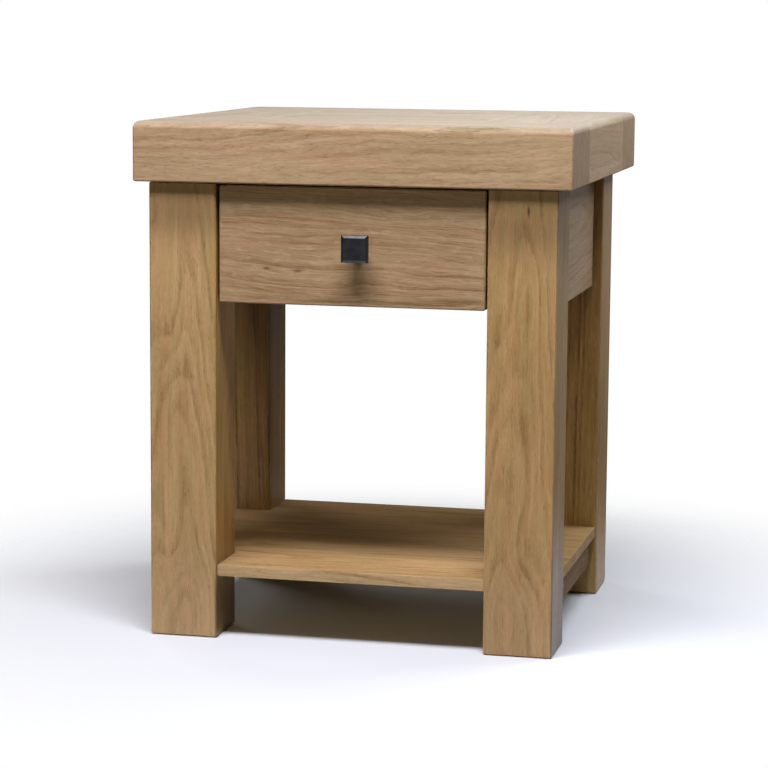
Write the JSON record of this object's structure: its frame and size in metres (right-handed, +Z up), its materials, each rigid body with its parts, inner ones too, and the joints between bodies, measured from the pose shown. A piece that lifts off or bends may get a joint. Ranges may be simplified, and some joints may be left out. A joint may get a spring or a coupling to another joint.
{
  "type": "side table with drawer",
  "caption": "Square side table with a thick framed top, stout square legs, a drawer with a square knob under the top, and a low open shelf.",
  "frame": {"origin": "on the floor, midway across the width and midway between the knob's face and the top's rear edge", "axes": "+Z up, -Y out of the drawer front, +X to the right as seen from the front"},
  "size_m": [0.5, 0.5034, 0.59],
  "materials": {
    "oak_top": "clear satin oak, straight to wavy grain",
    "oak_leg": "clear satin oak, upright cathedral grain",
    "oak_front": "clear satin oak, level grain",
    "oak_shelf": "clear satin oak, level grain",
    "softwood": "plain sanded softwood, unfinished",
    "plywood": "sanded plywood, unfinished",
    "dark_iron": "dark satin paint on cast metal",
    "zinc_steel": "bright zinc plate",
    "nylon": "matt moulded nylon"
  },
  "bodies": {
    "table": {"top_front_board": "oak_top", "top_rear_board": "oak_top", "top_side_board_left": "oak_top", "top_side_board_right": "oak_top", "top_side_strip_left": "oak_top", "top_side_strip_right": "oak_top", "top_centre_board_1": "oak_top", "top_centre_board_2": "oak_top", "top_centre_board_3": "oak_top", "leg_front_left": "oak_leg", "leg_front_right": "oak_leg", "leg_rear_left": "oak_leg", "leg_rear_right": "oak_leg", "shelf_rail_left": "oak_leg", "shelf_rail_right": "oak_leg", "apron_left": "oak_front", "apron_right": "oak_front", "apron_rear": "oak_front", "shelf_board_1": "oak_shelf", "shelf_board_2": "oak_shelf", "shelf_board_3": "oak_shelf", "shelf_board_4": "oak_shelf", "top_batten_left": "softwood", "top_batten_right": "softwood", "front_rail_upper": "softwood", "front_rail_lower": "softwood", "runner_left": "softwood", "runner_right": "softwood", "guide_left": "softwood", "guide_right": "softwood", "kicker_left": "softwood", "kicker_right": "softwood", "drawer_stop_left": "softwood", "drawer_stop_right": "softwood", "top_screw_front_left": "zinc_steel", "top_screw_front_right": "zinc_steel", "top_screw_middle_left": "zinc_steel", "top_screw_middle_right": "zinc_steel", "top_screw_rear_left": "zinc_steel", "top_screw_rear_right": "zinc_steel", "shelf_screw_front_left": "zinc_steel", "shelf_screw_front_right": "zinc_steel", "shelf_screw_rear_left": "zinc_steel", "shelf_screw_rear_right": "zinc_steel", "glide_front_left": "nylon", "glide_front_right": "nylon", "glide_rear_left": "nylon", "glide_rear_right": "nylon"},
    "drawer": {"drawer_front": "oak_front", "drawer_side_left": "softwood", "drawer_side_right": "softwood", "drawer_back": "softwood", "drawer_bottom": "plywood", "knob": "dark_iron", "knob_screw": "zinc_steel", "drawer_bottom_screw_left": "zinc_steel", "drawer_bottom_screw_right": "zinc_steel"}
  },
  "joints": [
    {"name": "drawer_slide", "type": "slide", "parent": "table", "child": "drawer", "axis": [0, -1, 0], "range_m": [0, 0.24]}
  ]
}
